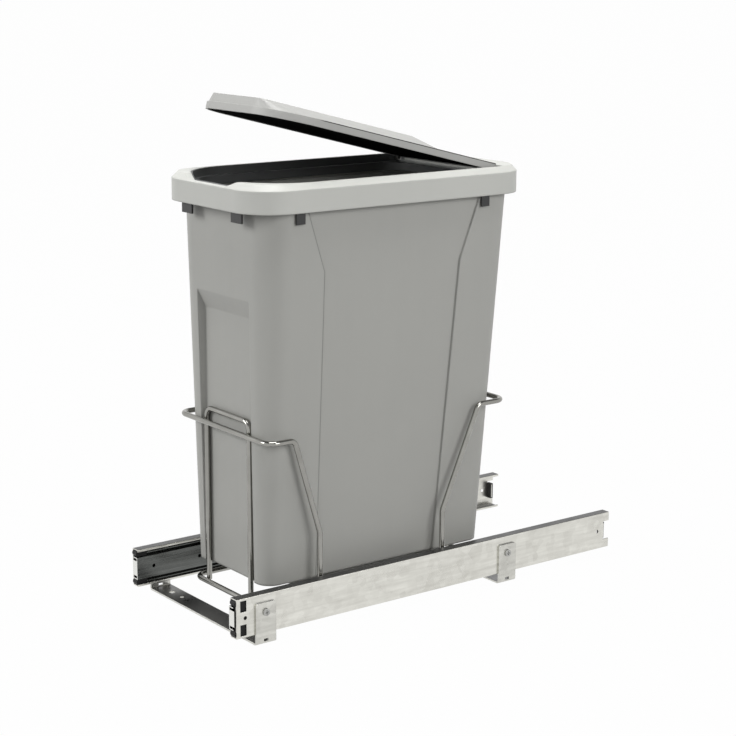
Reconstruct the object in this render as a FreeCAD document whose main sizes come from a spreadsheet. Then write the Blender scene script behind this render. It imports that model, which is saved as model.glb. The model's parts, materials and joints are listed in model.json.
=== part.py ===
import FreeCAD, Part
import math
import os

import Sketcher

Vector = FreeCAD.Vector

# A pull-out waste bin for a kitchen base cabinet: two ball-bearing slides on two cross brackets,
# a welded wire cradle between the slides, a tapered bin in the cradle, a collar with a dark inner
# frame on the bin's rim, and a flip lid that is hinged at the back.
# Millimetres. +X is the user's right, -Y is the way the bin pulls out, +Z is up. The origin is the
# centre of the four floor screw holes, on the underside of the brackets.

doc = FreeCAD.newDocument("pull_out_bin")
sheet = doc.addObject("Spreadsheet::Sheet", "Sizes")

SIZES = [
    # slides
    ("slide_length", 558.8, "length of the outer rail"),
    ("slide_height", 45.7, "height of the outer rail"),
    ("slide_depth", 12.7, "thickness of a closed slide"),
    ("slide_span", 226.8, "outer web to outer web"),
    ("slide_lift", 9.8, "slide's lower edge above the strip of the bracket"),
    ("rail_steel", 1.2, "sheet thickness of the rails"),
    ("rail_lip", 1.5, "lip that closes the ball race of the outer rail"),
    ("rail_round", 1.0, "radius along the edges of the outer rail"),
    ("web_gap", 1.0, "space between two webs"),
    ("race_gap", 3.5, "space between two flanges"),
    ("ball_clearance", 0.05, "ball to flange"),
    ("middle_start", 13.0, "front end of the middle rail behind that of the outer rail"),
    ("cap_nose", 1.6, "how far the noses of the middle rail's cap bulge past the outer rail"),
    ("middle_rear", 40.8, "rear end of the middle rail before that of the outer rail"),
    ("inner_rear", 49.3, "rear end of the inner rail before that of the outer rail"),
    ("tab_width", 10.2, "front tab of the inner rail, across"),
    ("tab_height", 18.4, "front tab of the inner rail, upwards"),
    ("ball_middle", 7.0, "middle of the balls behind the outer face of the web"),
    ("cage_length", 200.0, "length of a ball cage"),
    ("cage_sheet", 0.6, "sheet thickness of a ball cage"),
    ("cage_over", 1.0, "edge of a ball cage past its balls"),
    ("cage_start", 160.0, "front end of the cages behind that of the outer rail"),
    ("pocket_clearance", 0.05, "ball to the hole of its cage"),
    ("ball_pitch", 34.0, "distance from ball to ball"),
    ("part_gap", 0.3, "gap between parts that only lie near each other"),
    ("overshoot", 1.0, "how far a cut runs past the face that it opens"),
    ("window_start", 5.0, "front edge of the windows in the web"),
    ("window_width", 8.0, "windows in the web, along the rail"),
    ("window_low", 7.4, "inner edge of a window from mid-height"),
    ("window_high", 20.2, "outer edge of a window from mid-height"),
    ("web_hole", 4.4, "holes in the webs"),
    ("web_hole_front", 11.5, "front hole of the outer web"),
    ("web_hole_rear", 18.8, "rear hole of the outer web, from the rear end"),
    ("notch_length", 9.5, "notch at the rear end of the outer web"),
    ("notch_height", 23.4, "notch at the rear end of the outer web"),
    ("stop_tab_width", 9.4, "inward tab at the rear of the outer web"),
    ("stop_tab_height", 18.0, "inward tab at the rear of the outer web"),
    ("bumper_wall", 1.5, "rubber on each side of the tab"),
    ("bumper_height", 20.4, "height of the rubber bumper"),
    ("inner_hole_first", 21.2, "first hole of the inner rail"),
    ("inner_hole_second", 84.7, "second hole of the inner rail"),
    # brackets
    ("bracket_sheet", 2.2, "sheet thickness of the brackets"),
    ("bracket_width", 26.5, "width of the strip"),
    ("bracket_spacing", 351.0, "front bracket to rear bracket"),
    ("bracket_height", 48.3, "underside of the strip to the top of its tabs"),
    ("bracket_bend", 1.0, "inside radius of the bends"),
    ("tab_round", 3.0, "corner radius of the tabs"),
    ("front_setback", 37.3, "middle of the front bracket behind the slide's front end"),
    ("floor_hole", 5.0, "floor screw holes"),
    ("floor_hole_offset", 65.0, "floor screw holes from the middle"),
    ("access_hole", 7.5, "larger holes beside the floor screw holes"),
    ("access_hole_offset", 87.0, "larger holes from the middle"),
    ("relief_width", 6.0, "relief slot at the foot of a tab"),
    ("relief_height", 3.0, "relief slot at the foot of a tab"),
    ("slide_screw", 4.0, "thread of the slide screws"),
    ("screw_clearance", 0.1, "screw thread to its hole"),
    ("slide_screw_head", 8.4, "head of the slide screws"),
    ("slide_screw_dome", 1.9, "head height of the slide screws"),
    ("cross_reach", 4.7, "cross recess of a screw, end to end"),
    ("cross_width", 1.0, "width of its slots"),
    ("cross_depth", 1.05, "depth of its slots"),
    ("slide_screw_raise", 2.2, "slide screws above the middle of the slide"),
    # wire cradle
    ("wire", 6.3, "wire diameter"),
    ("weld_gap", 0.05, "wire to wire where they are welded"),
    ("base_height", 25.5, "middle of the base wire above the floor"),
    ("base_half", 66.0, "base loop, half its width"),
    ("cradle_front", -155.4, "middle of the front runs of the wires"),
    ("base_rear", 159.2, "middle of the rear run of the base loop"),
    ("base_bend", 14.0, "corner radius of the base loop"),
    ("guard_half", 44.7, "guard legs from the middle"),
    ("guard_top", 234.0, "middle of the guard's top run"),
    ("guard_bend", 11.0, "corner radius of the guard"),
    ("hoop_bend", 13.0, "corner radius of the hoops"),
    ("hoop_knee", 9.0, "bend radius where the hoop turns down"),
    ("hoop_ankle", 18.0, "bend radius where the hoop turns upright"),
    ("front_hoop_top", 219.0, "middle of the front hoop's top run"),
    ("front_hoop_knee", -121.3, "where the front hoop turns down"),
    ("front_hoop_leg", -87.3, "legs of the front hoop"),
    ("front_hoop_ankle", 106.0, "height where the front hoop turns upright"),
    ("rear_hoop_top", 223.0, "middle of the rear hoop's top run"),
    ("rear_hoop_back", 184.2, "middle of the rear hoop's back run"),
    ("rear_hoop_knee", 143.7, "where the rear hoop turns down"),
    ("rear_hoop_leg", 90.2, "legs of the rear hoop"),
    ("rear_hoop_ankle", 101.0, "height where the rear hoop turns upright"),
    ("mount_sheet", 3.5, "thickness of the plates that join wire and slide"),
    ("mount_length", 34.0, "length of those plates"),
    ("mount_height", 26.0, "height of those plates"),
    ("mount_drop", 8.0, "those plates below the middle of the slide"),
    ("mount_screw_offset", 11.0, "their screws from the wire leg"),
    # bin
    ("bin_wall", 2.3, "wall of the bin"),
    ("foot_height", 12.2, "foot under the bin, down to the cradle"),
    ("bin_height", 444.9, "bottom of the bin to its rim"),
    ("bin_side_gap", 6.25, "side of the bin to the hoops, at the front hoop's top run"),
    ("bin_front_gap", 0.62, "front of the bin to the front hoop's top run"),
    ("bin_rear_gap", 3.6, "rear of the bin to the rear hoop's back run"),
    ("bin_side_taper", 23.6, "side of the bin, farther out at the rim than at the bottom"),
    ("bin_front_taper", 6.3, "front of the bin, farther out at the rim than at the bottom"),
    ("bin_rear_taper", 29.8, "rear of the bin, farther out at the rim than at the bottom"),
    ("bin_top_round", 36.0, "rim, corner radius"),
    ("bin_low_round", 18.0, "bottom, corner radius"),
    ("foot_half", 52.0, "foot under the bin, half its width"),
    ("foot_front", -106.8, "foot, front"),
    ("foot_rear", 125.2, "foot, rear"),
    ("foot_round", 20.0, "foot, corner radius"),
    ("recess_clearance", 2.6, "guard to the sides of the front recess, at its floor"),
    ("recess_flare", 4.0, "sides of the recess, farther out at the front than at its floor"),
    ("recess_behind", 0.5, "guard to the floor of the front recess"),
    ("recess_drop", 140.9, "top of the recess floor below the rim"),
    ("recess_ramp", 25.0, "height of the ramp above it"),
    ("panel_depth", 2.5, "depth of the side panels"),
    ("panel_front", -79.9, "front edge of a side panel"),
    ("panel_front_top", -107.0, "front edge of a side panel under the collar"),
    ("panel_front_drop", 88.4, "where the front edge starts to slant, below the rim"),
    ("panel_rear_low", 90.0, "rear edge of a side panel, at the bottom"),
    ("panel_rear", 112.0, "rear edge of a side panel at its knee"),
    ("panel_rear_top", 141.0, "rear edge of a side panel under the collar"),
    ("panel_rear_drop", 92.4, "where the rear edge starts to slant, below the rim"),
    ("panel_drop", 10.4, "top of the side panels below the rim"),
    # collar and its inner frame
    ("frame_gap", 0.7, "collar to the edge of its inner frame"),
    ("collar_front_over", 18.8, "front of the collar before the rim"),
    ("collar_rear_over", 16.1, "rear of the collar behind the rim"),
    ("collar_round", 45.0, "collar, corner radius"),
    ("collar_side", 25.1, "height of its side face"),
    ("collar_rise", 3.1, "upper edge of its side face above the ledge"),
    ("collar_shoulder", 6.7, "height of its sloping shoulder"),
    ("collar_shoulder_in", 6.9, "width of its sloping shoulder"),
    ("collar_wall", 2.2, "wall of the collar"),
    ("ledge_sheet", 2.2, "thickness of the ledge"),
    ("frame_wall", 1.8, "wall of the inner frame"),
    ("frame_lip", 9.5, "height of the lip round the aperture"),
    ("lip_side_in", 8.8, "lip of the aperture inside the side walls of the bin"),
    ("lip_front_in", 7.7, "lip of the aperture inside the front wall of the bin"),
    ("lip_rear_in", 37.2, "lip of the aperture inside the rear wall of the bin"),
    ("deck_depth", 37.1, "front edge of the fixed rear deck before the collar's rear"),
    ("deck_sheet", 2.2, "thickness of the rear deck"),
    ("crest_round", 70.0, "front corner radius inside the crest of the collar"),
    ("dip_half", 38.0, "front dip, half its floor"),
    ("dip_slope", 14.0, "front dip, width of each slope"),
    ("dip_rise", 3.6, "floor of the front dip above the ledge"),
    ("lug_drop", 12.5, "clip lugs below the collar"),
    ("lug_front_offset", 51.0, "front and rear lugs from the middle"),
    ("lug_front_width", 21.0, "width of the front and rear lugs"),
    ("lug_side_width", 11.5, "width of the side lugs"),
    ("lug_side_front", -116.4, "middle of the front side lugs"),
    ("lug_side_rear", 143.2, "middle of the rear side lugs"),
    # lid
    ("lid_rest_angle", 14.2, "how far the lid stands open at rest"),
    ("lid_side_gap", 1.6, "side of the lid to the inner frame"),
    ("lid_front_gap", 14.1, "front edge of the lid to the inner frame, when level"),
    ("lid_rear_gap", 8.3, "rear edge of the lid to the rear deck, when level"),
    ("lid_behind", 2.5, "lid behind the hinge axis"),
    ("lid_round", 55.0, "front corner radius of the lid"),
    ("lid_rear_round", 4.0, "rear corner radius of the lid"),
    ("lid_low", 0.7, "lower edge of the lid's side band above the axis"),
    ("lid_high", 9.0, "upper edge of the lid's side band above the axis"),
    ("lid_wall", 2.2, "wall of the lid"),
    ("groove_in", 2.6, "groove from the edge of the lid"),
    ("groove_width", 1.3, "width of the groove"),
    ("groove_depth", 1.2, "depth of the groove"),
    ("crown_height", 9.8, "raised middle of the lid"),
    ("crown_slope", 36.0, "width of its sloping sides"),
    ("crown_front", 0.8, "its front face behind the lid's front edge"),
    ("crown_front_slope", 1.2, "width of its sloping front"),
    ("crown_rear_slope", 22.0, "width of its sloping rear"),
    ("crown_round", 9.0, "corner radius of its top"),
    ("crown_rear", 72.0, "rear end of the raised middle from the hinge axis"),
    ("panel_inner_sheet", 1.8, "thickness of the lid's inner panel"),
    ("panel_inner_rise", 1.0, "inner panel above the band's lower edge"),
    ("pin", 4.0, "hinge pins"),
    ("ear", 7.6, "ears of the lid round the hinge pins"),
    ("pin_clearance", 0.05, "pin to its socket"),
    ("pin_depth", 4.4, "hinge pin into the collar"),
]

# sizes that follow from the ones above, each from what it fits
FITS = [
    ("hoop_half", "slide_span / 2 - slide_depth - mount_sheet - weld_gap - wire / 2",
     "legs of the hoops from the middle"),
    ("foot_low", "base_height + 1.5 * wire + weld_gap + part_gap", "underside of the foot"),
    ("bin_floor", "foot_low + foot_height", "underside of the bin's edge"),
    ("bin_top", "bin_floor + bin_height", "top of the rim"),
    ("side_at_hoop", "hoop_half - wire / 2 - bin_side_gap", "half width beside the front hoop"),
    ("front_at_hoop", "cradle_front + wire / 2 + bin_front_gap", "front at the front hoop"),
    ("rear_at_hoop", "rear_hoop_back - wire / 2 - bin_rear_gap", "rear at the rear hoop"),
    ("front_hoop_share", "(front_hoop_top - bin_floor) / bin_height", "front hoop's place in the taper"),
    ("rear_hoop_share", "(rear_hoop_top - bin_floor) / bin_height", "rear hoop's place in the taper"),
    ("bin_low_half", "side_at_hoop - bin_side_taper * front_hoop_share", "bottom, half its width"),
    ("bin_low_front", "front_at_hoop + bin_front_taper * front_hoop_share", "bottom, front"),
    ("bin_low_rear", "rear_at_hoop - bin_rear_taper * rear_hoop_share", "bottom, rear"),
    ("bin_top_half", "bin_low_half + bin_side_taper", "rim, half its width"),
    ("bin_top_front", "bin_low_front - bin_front_taper", "rim, front"),
    ("bin_top_rear", "bin_low_rear + bin_rear_taper", "rim, rear"),
    ("recess_floor", "cradle_front + 1.5 * wire + weld_gap + recess_behind", "floor of the recess"),
    ("recess_top", "bin_top - recess_drop", "top of the recess floor"),
    ("panel_front_knee", "bin_top - panel_front_drop", "front edge of a side panel starts to slant"),
    ("panel_rear_knee", "bin_top - panel_rear_drop", "rear edge of a side panel starts to slant"),
    ("panel_top", "bin_top - panel_drop", "top of the side panels"),
    ("ledge_top", "bin_top + part_gap + ledge_sheet", "ledge round the rim"),
    ("collar_edge", "ledge_top + collar_rise", "upper edge of the collar's side face"),
    ("collar_low", "collar_edge - collar_side", "lower edge of the collar"),
    ("crest", "collar_edge + collar_shoulder", "top of the collar"),
    ("crest_in", "collar_shoulder_in + collar_wall", "inner side of the collar's crest"),
    ("ledge_half", "bin_top_half + part_gap + collar_wall", "edge of the ledge"),
    ("collar_half", "ledge_half + frame_gap + collar_wall", "collar, half its width"),
    ("collar_front", "bin_top_front - collar_front_over", "collar, front"),
    ("collar_rear", "bin_top_rear + collar_rear_over", "collar, rear"),
    ("aperture_half", "bin_top_half - bin_wall - lip_side_in", "aperture, half its width"),
    ("aperture_front", "bin_top_front + bin_wall + lip_front_in", "aperture, front"),
    ("aperture_rear", "bin_top_rear - bin_wall - lip_rear_in", "aperture, rear"),
    ("deck_front", "collar_rear - deck_depth", "front edge of the rear deck"),
    ("dip_floor", "ledge_top + dip_rise", "floor of the front dip"),
    ("hinge_back", "deck_front - lid_behind - lid_rear_gap", "hinge axis"),
    ("hinge_height", "ledge_top + ear / 2 + part_gap", "hinge axis above the floor"),
    ("lid_half", "collar_half - crest_in - frame_wall - lid_side_gap", "lid, half its width"),
    ("lid_reach", "hinge_back - collar_front - crest_in - frame_wall - lid_front_gap",
     "hinge axis to the lid's front edge"),
    ("pin_reach", "collar_half - crest_in + pin_depth", "end of a hinge pin from the middle"),
]
ROWS = [(alias, str(value), note) for alias, value, note in SIZES]
ROWS += [(alias, "=" + formula, note) for alias, formula, note in FITS]
for row, (alias, content, note) in enumerate(ROWS, start=1):
    sheet.set(f"A{row}", alias)
    sheet.set(f"C{row}", note)
    sheet.setAlias(f"B{row}", alias)
    sheet.set(f"B{row}", content)
doc.recompute()


def size(alias):
    """One number of the sheet."""
    return float(sheet.get(alias))


def cell(formula):
    """A formula of aliases, with the sheet's name put before each of them."""
    words = []
    word = ""
    for letter in formula + " ":
        if letter.isalnum() or letter == "_":
            word += letter
            continue
        words.append("Sizes." + word if word in ALIASES else word)
        words.append(letter)
        word = ""
    return "".join(words).strip()


ALIASES = {alias for alias, content, note in ROWS}
SLIDE_LOW = "bracket_sheet + slide_lift"
SLIDE_MID = "bracket_sheet + slide_lift + slide_height / 2"
SLIDE_FRONT = "-bracket_spacing / 2 - front_setback"
MIDDLE_HALF = "slide_height / 2 - rail_steel - race_gap"
INNER_HALF = "slide_height / 2 - 2 * rail_steel - 2 * race_gap"
OUTER_BALL = "slide_height / 2 - rail_steel - race_gap / 2"
INNER_BALL = "slide_height / 2 - 2 * rail_steel - 1.5 * race_gap"
BALL = "race_gap - 2 * ball_clearance"


def bind(obj, **formulas):
    """Bind properties of an object to the sheet. A double underscore stands for a dot."""
    for name, formula in formulas.items():
        obj.setExpression(name.replace("__", "."), cell(formula))


def place(obj, x="0", y="0", z="0"):
    bind(obj, Placement__Base__x=x, Placement__Base__y=y, Placement__Base__z=z)
    return obj


def block(name, corner, lengths):
    """A box from its lowest corner and its three lengths, all formulas."""
    box = doc.addObject("Part::Box", name)
    bind(box, Length=lengths[0], Width=lengths[1], Height=lengths[2])
    return place(box, *corner)


def rod(name, start, radius, length, axis="z"):
    """A cylinder from the middle of one end, along +X, +Y or +Z."""
    cylinder = doc.addObject("Part::Cylinder", name)
    bind(cylinder, Radius=radius, Height=length)
    turns = {"x": (Vector(0, 1, 0), 90), "y": (Vector(1, 0, 0), -90), "z": (Vector(0, 0, 1), 0)}
    cylinder.Placement.Rotation = FreeCAD.Rotation(*turns[axis])
    return place(cylinder, *start)


def fuse(name, shapes):
    joined = doc.addObject("Part::MultiFuse", name)
    joined.Shapes = shapes
    return joined


def cut(name, base, tool):
    result = doc.addObject("Part::Cut", name)
    result.Base = base
    result.Tool = tool
    return result


def common(name, first, second):
    result = doc.addObject("Part::MultiCommon", name)
    result.Shapes = [first, second]
    return result


def mirrored(name, source):
    """The same piece on the other side of the middle plane."""
    mirror = doc.addObject("Part::Mirroring", name)
    mirror.Source = source
    mirror.Normal = Vector(1, 0, 0)
    return mirror


# A sketch is first drawn at these sizes, and then its formulas set it.
DRAFT_REACH = 50.0
DRAFT_WIDTH = 200.0
DRAFT_DEPTH = 300.0
DRAFT_ROUND = 30.0
QUARTER = math.pi / 2


def outline(sketch, points):
    """A closed polygon. Each corner is a pair of formulas, neither of them negative."""
    count = len(points)
    ring = []
    for index in range(count + 1):
        turn = 4 * QUARTER * index / count
        ring.append(Vector(math.cos(turn), math.sin(turn), 0) * DRAFT_REACH)
    for start, end in zip(ring, ring[1:]):
        sketch.addGeometry(Part.LineSegment(start, end), False)
    for index in range(count):
        sketch.addConstraint(Sketcher.Constraint("Coincident", index, 2, (index + 1) % count, 1))
    for index, corner in enumerate(points):
        for kind, axis, formula in (("DistanceX", -2, corner[0]), ("DistanceY", -1, corner[1])):
            if formula == "0":
                sketch.addConstraint(Sketcher.Constraint("PointOnObject", index, 1, axis))
                continue
            number = sketch.addConstraint(Sketcher.Constraint(kind, -1, 1, index, 1, DRAFT_REACH))
            sketch.setExpression(f"Constraints[{number}]", cell(formula))


def strip_body(name, points, length, plane="XZ_Plane"):
    """A body: one closed polygon on an origin plane, padded along +Y, or along +X from YZ_Plane."""
    body = doc.addObject("PartDesign::Body", name)
    sketch = body.newObject("Sketcher::SketchObject", name + "_profile")
    planes = [feature for feature in body.Origin.OriginFeatures if feature.Role == plane]
    sketch.AttachmentSupport = [(planes[0], "")]
    sketch.MapMode = "FlatFace"
    outline(sketch, points)
    pad = body.newObject("PartDesign::Pad", name + "_pad")
    pad.Profile = sketch
    pad.Reversed = plane == "XZ_Plane"
    bind(pad, Length=length)
    body.Tip = pad
    doc.recompute()
    return body


def runs_along(direction, axis):
    """Whether a direction is mainly that of x, y or z."""
    return abs(getattr(direction, axis)) == max(abs(direction.x), abs(direction.y), abs(direction.z))


def round_edges(body, radius, wanted):
    """Round the edges of the body's last feature that the test picks by their middle and direction."""
    base = body.Tip
    names = []
    for number, edge in enumerate(base.Shape.Edges, start=1):
        first, last = edge.Vertexes[0].Point, edge.Vertexes[-1].Point
        if wanted((first + last) * 0.5, (last - first).normalize()):
            names.append(f"Edge{number}")
    fillet = body.newObject("PartDesign::Fillet", base.Name + "_round")
    fillet.Base = (base, names)
    bind(fillet, Radius=radius)
    body.Tip = fillet
    doc.recompute()
    return fillet


def rounded_prism(name, half, front, rear, radius, low, height, rear_radius=None):
    """An upright prism on a rectangle with round corners, symmetric about the middle plane."""
    prism = doc.addObject("Part::Extrusion", name)
    prism.Base = rounded_sketch(name + "_outline", half, front, rear, radius, low, rear_radius)
    prism.DirMode = "Custom"
    prism.Dir = Vector(0, 0, 1)
    prism.Solid = True
    bind(prism, LengthFwd=height)
    return prism


def rounded_sketch(name, half, front, rear, radius, level, rear_radius=None):
    """A rectangle with round corners at one level. The sketch's origin is its front left corner."""
    rear_radius = rear_radius or radius
    sketch = doc.addObject("Sketcher::SketchObject", name)
    width, depth, bend = DRAFT_WIDTH, DRAFT_DEPTH, DRAFT_ROUND
    sides = [
        (Vector(bend, 0, 0), Vector(width - bend, 0, 0)),
        (Vector(width, bend, 0), Vector(width, depth - bend, 0)),
        (Vector(width - bend, depth, 0), Vector(bend, depth, 0)),
        (Vector(0, depth - bend, 0), Vector(0, bend, 0)),
    ]
    for start, end in sides:
        sketch.addGeometry(Part.LineSegment(start, end), False)
    corners = [
        (Vector(width - bend, bend, 0), -QUARTER),
        (Vector(width - bend, depth - bend, 0), 0),
        (Vector(bend, depth - bend, 0), QUARTER),
        (Vector(bend, bend, 0), 2 * QUARTER),
    ]
    for centre, first in corners:
        circle = Part.Circle(centre, Vector(0, 0, 1), bend)
        sketch.addGeometry(Part.ArcOfCircle(circle, first, first + QUARTER), False)
    for index in range(4):
        arc = 4 + index
        sketch.addConstraint(Sketcher.Constraint("Tangent", index, 2, arc, 1))
        sketch.addConstraint(Sketcher.Constraint("Tangent", arc, 2, (index + 1) % 4, 1))
    for index, kind in enumerate(("Horizontal", "Vertical", "Horizontal", "Vertical")):
        sketch.addConstraint(Sketcher.Constraint(kind, index))
    sketch.addConstraint(Sketcher.Constraint("PointOnObject", 0, 1, -1))
    sketch.addConstraint(Sketcher.Constraint("PointOnObject", 3, 1, -2))
    sketch.addConstraint(Sketcher.Constraint("Equal", 4, 7))
    sketch.addConstraint(Sketcher.Constraint("Equal", 5, 6))
    numbers = [
        (Sketcher.Constraint("DistanceX", -1, 1, 1, 1, width), f"2 * ({half})"),
        (Sketcher.Constraint("DistanceY", -1, 1, 2, 1, depth), f"({rear}) - ({front})"),
        (Sketcher.Constraint("Radius", 4, bend), radius),
        (Sketcher.Constraint("Radius", 5, bend), rear_radius),
    ]
    for constraint, formula in numbers:
        number = sketch.addConstraint(constraint)
        sketch.setExpression(f"Constraints[{number}]", cell(formula))
    return place(sketch, f"-({half})", front, level)


def loft(name, sections):
    """A solid between two sketches, with straight sides."""
    result = doc.addObject("Part::Loft", name)
    result.Sections = sections
    result.Solid = True
    result.Ruled = True
    return result


def bent_wire(points, radii, closed):
    """Straight runs joined by arcs that are tangent to both."""
    count = len(points)
    corners = range(count) if closed else range(1, count - 1)
    turns = {}
    for index in corners:
        corner = points[index]
        back = (points[index - 1] - corner).normalize()
        ahead = (points[(index + 1) % count] - corner).normalize()
        half_angle = back.getAngle(ahead) / 2
        reach = radii[index] / math.tan(half_angle)
        middle = (back + ahead).normalize() * (radii[index] / math.sin(half_angle))
        inside = corner + middle
        top = inside - (back + ahead).normalize() * radii[index]
        turns[index] = (corner + back * reach, top, corner + ahead * reach)
    edges = []
    last = count if closed else count - 1
    for index in range(last):
        following = (index + 1) % count
        start = turns[index][2] if index in turns else points[index]
        end = turns[following][0] if following in turns else points[following]
        edges.append(Part.LineSegment(start, end).toShape())
        if following in turns:
            edges.append(Part.Arc(*turns[following]).toShape())
    return Part.Wire(edges)


def wire_piece(name, points, radii, closed):
    """Round wire of the cradle's diameter, bent along a path."""
    path = doc.addObject("Part::Feature", name + "_path")
    path.Shape = bent_wire(points, radii, closed)
    start = path.Shape.Edges[0]
    section = doc.addObject("Part::Circle", name + "_section")
    bind(section, Radius="wire / 2")
    direction = start.tangentAt(start.FirstParameter)
    section.Placement = FreeCAD.Placement(
        start.valueAt(start.FirstParameter), FreeCAD.Rotation(Vector(0, 0, 1), direction)
    )
    sweep = doc.addObject("Part::Sweep", name)
    sweep.Sections = [section]
    sweep.Spine = (path, [f"Edge{number + 1}" for number in range(len(path.Shape.Edges))])
    sweep.Solid = True
    sweep.Frenet = False
    return sweep


def screw(name, head, thread, dome, length):
    """A pan head screw with a cross recess, from the origin along +X, its head towards -X."""
    disc = rod(name + "_head", (f"-({dome})", "0", "0"), f"({head}) / 2", dome, "x")
    shank = rod(name + "_shank", ("0", "0", "0"), f"({thread}) / 2", length, "x")
    whole = fuse(name + "_blank", [disc, shank])
    start = f"-({dome}) - overshoot"
    slots = []
    for way, wide, tall in (("a", "cross_reach", "cross_width"), ("b", "cross_width", "cross_reach")):
        slots.append(block(f"{name}_slot_{way}", (start, f"-{wide} / 2", f"-{tall} / 2"),
                           ("cross_depth + overshoot", wide, tall)))
    return cut(name, whole, fuse(name + "_recess", slots))


nodes = {}


def node(label, obj):
    """Name a finished sub-part."""
    obj.Label = label
    nodes[label] = obj
    return obj


def pair(label, obj):
    """Name a sub-part of the left slide and make the right one."""
    node("left_" + label, obj)
    node("right_" + label, mirrored("right_" + label, obj))


# slides -------------------------------------------------------------------------------------

WEB = "-slide_span / 2"
MIDDLE_WEB = "rail_steel + web_gap"
CAGE_SHIFT = "(web_gap - cage_sheet) / 2"
FRONT_STRIP = "-bracket_spacing / 2"
REAR_STRIP = "bracket_spacing / 2"
STOP_TAB = f"{SLIDE_FRONT} + slide_length - notch_length"
BALLS_PER_ROW = 6
NEAR = 0.01


def outer_rail():
    lip = "rail_steel + rail_lip"
    edge = "slide_depth - part_gap"
    profile = [
        ("0", "0"), (edge, "0"), (edge, lip), (f"{edge} - rail_steel", lip),
        (f"{edge} - rail_steel", "rail_steel"), ("rail_steel", "rail_steel"),
        ("rail_steel", "slide_height - rail_steel"),
        (f"{edge} - rail_steel", "slide_height - rail_steel"),
        (f"{edge} - rail_steel", "slide_height - rail_steel - rail_lip"),
        (edge, "slide_height - rail_steel - rail_lip"), (edge, "slide_height"), ("0", "slide_height"),
    ]
    body = strip_body("outer_rail_strip", profile, "slide_length")
    height, depth = size("slide_height"), size("slide_depth") - size("part_gap")

    def outside_corner(middle, direction):
        at_corner = min(middle.z, height - middle.z) < NEAR and min(middle.x, depth - middle.x) < NEAR
        return runs_along(direction, "y") and at_corner

    round_edges(body, "rail_round", outside_corner)
    place(body, WEB, SLIDE_FRONT, SLIDE_LOW)
    tab = block("stop_tab", (WEB, STOP_TAB, f"{SLIDE_MID} - stop_tab_height / 2"),
                ("stop_tab_width", "rail_steel", "stop_tab_height"))
    cuts = []
    for name, low in (("low_window", f"{SLIDE_MID} - window_high"),
                      ("high_window", f"{SLIDE_MID} + window_low")):
        cuts.append(block(name, (f"{WEB} - overshoot", f"{SLIDE_FRONT} + window_start", low),
                          ("rail_steel + 2 * overshoot", "window_width", "window_high - window_low")))
    cuts.append(block("notch", (f"{WEB} - overshoot", STOP_TAB, f"{SLIDE_MID} - notch_height / 2"),
                      ("rail_steel + 2 * overshoot", "notch_length + overshoot", "notch_height")))
    holes = [
        ("front_hole", f"{SLIDE_FRONT} + web_hole_front", SLIDE_MID, "web_hole / 2"),
        ("rear_hole", f"{SLIDE_FRONT} + slide_length - web_hole_rear", SLIDE_MID, "web_hole / 2"),
        ("front_screw_hole", FRONT_STRIP, f"{SLIDE_MID} + slide_screw_raise",
         "slide_screw / 2 + screw_clearance"),
        ("rear_screw_hole", REAR_STRIP, f"{SLIDE_MID} + slide_screw_raise",
         "slide_screw / 2 + screw_clearance"),
    ]
    for name, along, up, radius in holes:
        cuts.append(rod("outer_" + name, (f"{WEB} - overshoot", along, up), radius,
                        "rail_steel + 2 * overshoot", "x"))
    rail = cut("outer_rail_cut", body, fuse("outer_rail_cuts", cuts))
    return fuse("left_outer_rail", [rail, tab])


def bumper():
    wall = "bumper_wall"
    sleeve = block("bumper_sleeve", (f"{WEB} + rail_steel", f"{STOP_TAB} - {wall}",
                                     f"{SLIDE_MID} - bumper_height / 2"),
                   ("stop_tab_width - rail_steel", f"rail_steel + 2 * {wall}", "bumper_height"))
    slot = block("bumper_slot", (WEB, STOP_TAB, f"{SLIDE_MID} - stop_tab_height / 2"),
                 ("stop_tab_width + overshoot", "rail_steel", "stop_tab_height"))
    return cut("left_rear_bumper", sleeve, slot)


def cage(name, web, row):
    """A channel of sheet that holds two rows of balls. web is its outer face, row its ball height."""
    half = f"{row} + cage_sheet / 2"
    profile = [
        ("0", "0"), ("cage_width", "0"), ("cage_width", "cage_sheet"), ("cage_sheet", "cage_sheet"),
        ("cage_sheet", f"2 * ({half}) - cage_sheet"), ("cage_width", f"2 * ({half}) - cage_sheet"),
        ("cage_width", f"2 * ({half})"), ("0", f"2 * ({half})"),
    ]
    width = f"ball_middle + ({BALL}) / 2 + cage_over - ({web})"
    profile = [(across.replace("cage_width", width), up) for across, up in profile]
    body = strip_body(name + "_strip", profile, "cage_length")
    place(body, f"{WEB} + {web}", f"{SLIDE_FRONT} + cage_start", f"{SLIDE_MID} - ({half})")
    pockets = []
    for index in range(BALLS_PER_ROW):
        start = (f"{WEB} + ball_middle", ball_along(index), f"{SLIDE_MID} - ({half}) - overshoot")
        pockets.append(rod(f"{name}_pocket_{index}", start, f"({BALL}) / 2 + pocket_clearance",
                           f"2 * ({half}) + 2 * overshoot"))
    return cut(name, body, fuse(name + "_pockets", pockets))


def ball_along(index):
    middle = f"{SLIDE_FRONT} + cage_start + cage_length / 2"
    return f"{middle} + {index - (BALLS_PER_ROW - 1) / 2} * ball_pitch"


def balls(name, row):
    spheres = []
    for index in range(BALLS_PER_ROW):
        for sign in ("-", "+"):
            ball = doc.addObject("Part::Sphere", f"{name}_{len(spheres)}")
            bind(ball, Radius=f"({BALL}) / 2")
            spheres.append(place(ball, f"{WEB} + ball_middle", ball_along(index),
                                 f"{SLIDE_MID} {sign} ({row})"))
    group = doc.addObject("Part::Compound", name)
    group.Links = spheres
    return group


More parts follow.
